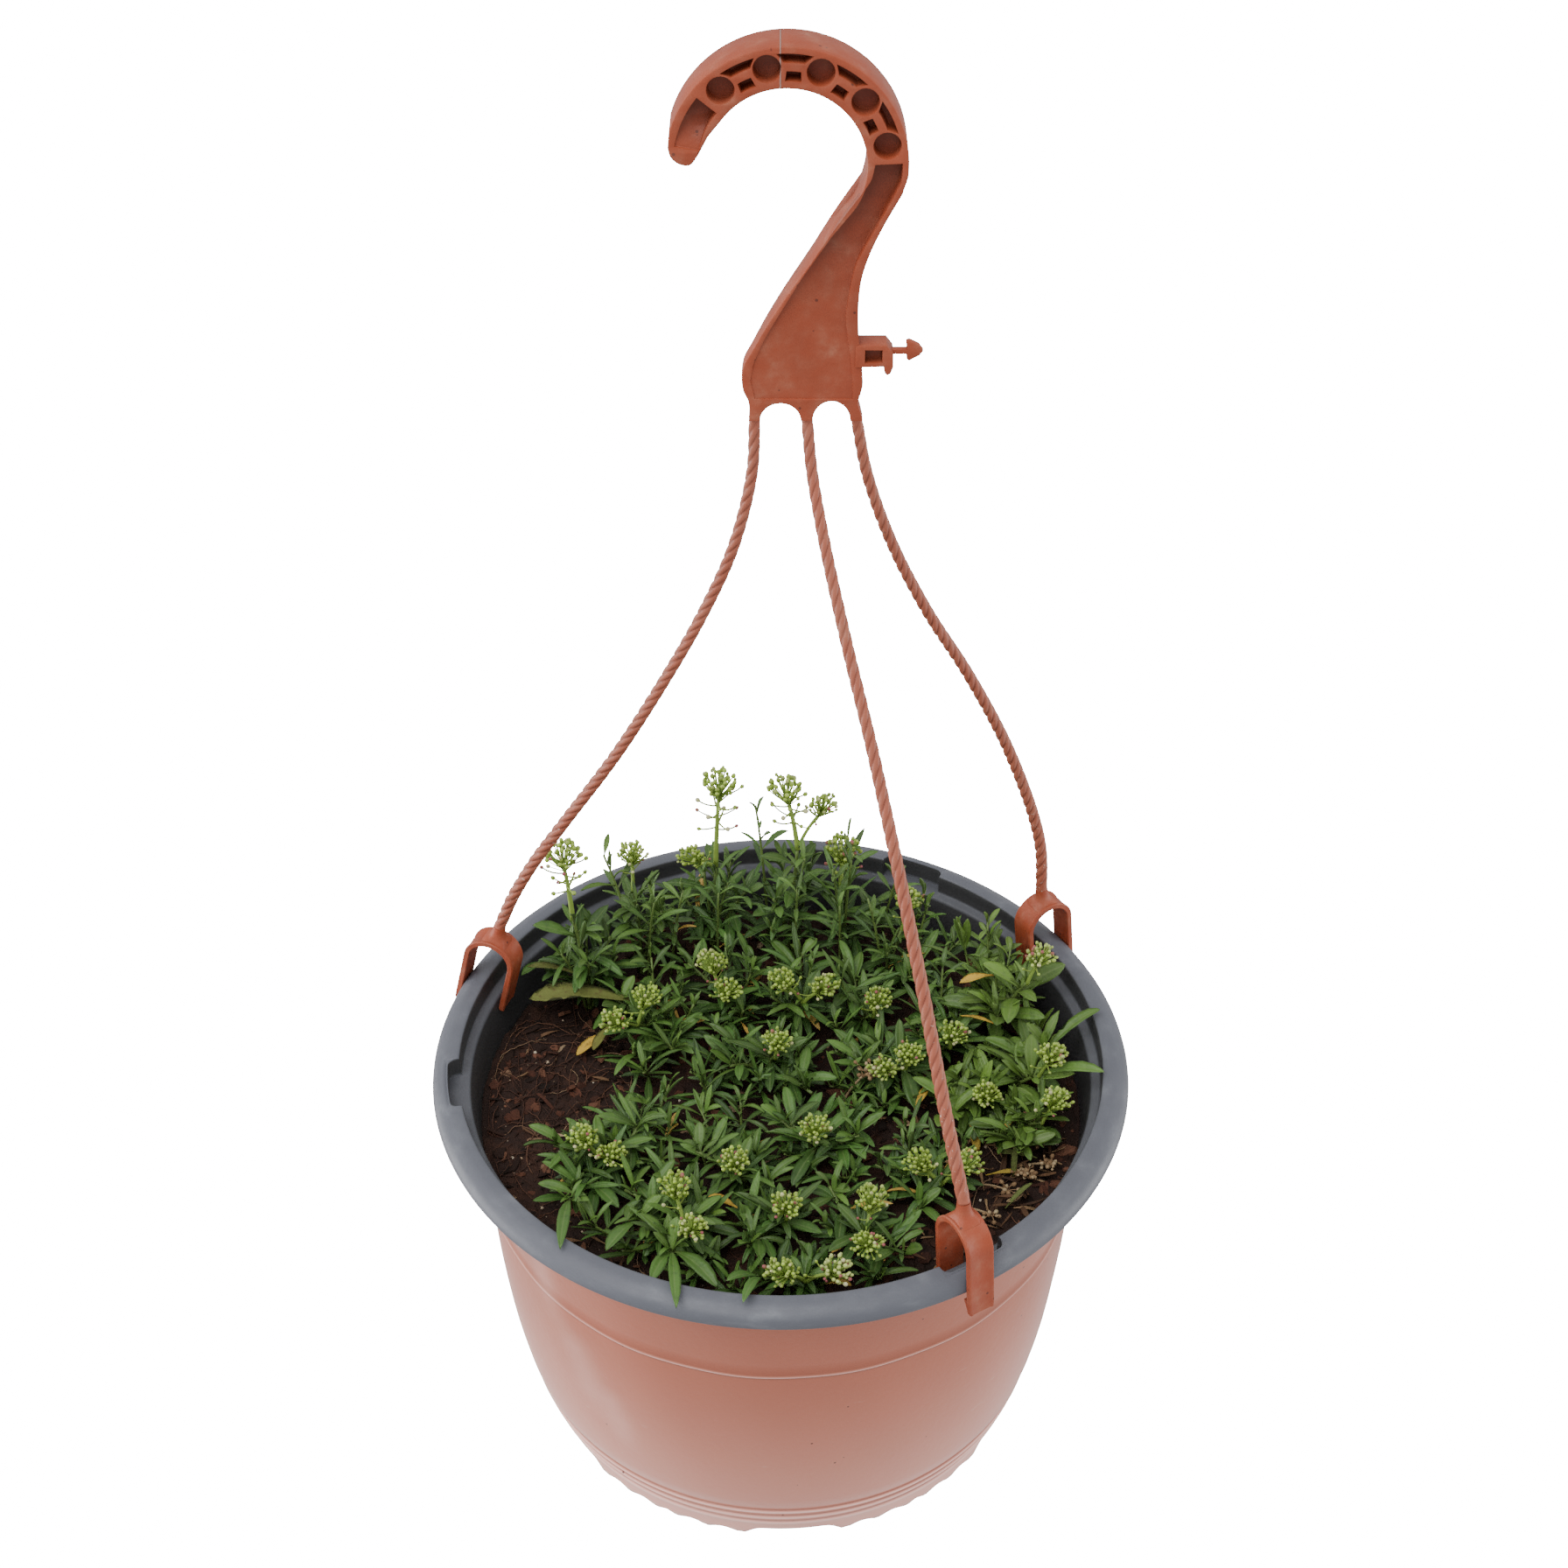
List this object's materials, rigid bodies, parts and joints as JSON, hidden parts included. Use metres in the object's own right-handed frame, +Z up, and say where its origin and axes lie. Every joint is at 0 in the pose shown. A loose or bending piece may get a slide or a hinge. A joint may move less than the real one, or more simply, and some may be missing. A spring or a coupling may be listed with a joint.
{
  "type": "sweet alyssum in a hanging pot",
  "caption": "Young sweet alyssum plants with narrow leaves and clustered buds, growing in a round plastic hanging pot with a hooked clip-on hanger.",
  "frame": {"origin": "centre of the pot's base, on the plane of its lowest feet", "axes": "+Z up along the pot's axis to the hook, +X to the right across the flat of the hook, -Y towards the front"},
  "size_m": [0.27, 0.27, 0.57],
  "materials": {
    "pot_plastic": "satin, paler towards the base",
    "hanger_plastic": "satin",
    "mix": "rough, fibrous",
    "leaf": "matte, slightly waxy",
    "bud": "matte"
  },
  "bodies": {
    "root": {"pot": "pot_plastic", "potting_mix": "mix", "hook": "hanger_plastic", "strand_front": "hanger_plastic", "strand_left": "hanger_plastic", "strand_right": "hanger_plastic", "clip_front": "hanger_plastic", "clip_left": "hanger_plastic", "clip_right": "hanger_plastic", "branch_01": "leaf", "flower_spray_01": "bud", "branch_02": "leaf", "flower_spray_02": "bud", "branch_03": "leaf", "flower_spray_03": "bud", "branch_04": "leaf", "flower_spray_04": "bud", "branch_05": "leaf", "flower_spray_05": "bud", "branch_06": "leaf", "flower_spray_06": "bud", "branch_07": "leaf", "flower_spray_07": "bud", "branch_08": "leaf", "flower_spray_08": "bud", "branch_09": "leaf", "flower_spray_09": "bud", "branch_10": "leaf", "flower_spray_10": "bud", "branch_11": "leaf", "flower_spray_11": "bud", "branch_12": "leaf", "flower_spray_12": "bud", "branch_13": "leaf", "flower_spray_13": "bud", "branch_14": "leaf", "flower_spray_14": "bud", "branch_15": "leaf", "flower_spray_15": "bud", "branch_16": "leaf", "flower_spray_16": "bud", "branch_17": "leaf", "flower_spray_17": "bud", "branch_18": "leaf", "flower_spray_18": "bud", "branch_19": "leaf", "flower_spray_19": "bud", "branch_20": "leaf", "flower_spray_20": "bud", "branch_21": "leaf", "flower_spray_21": "bud", "branch_22": "leaf", "flower_spray_22": "bud", "branch_23": "leaf", "flower_spray_23": "bud", "branch_24": "leaf", "flower_spray_24": "bud", "branch_25": "leaf", "flower_spray_25": "bud"}
  },
  "joints": []
}
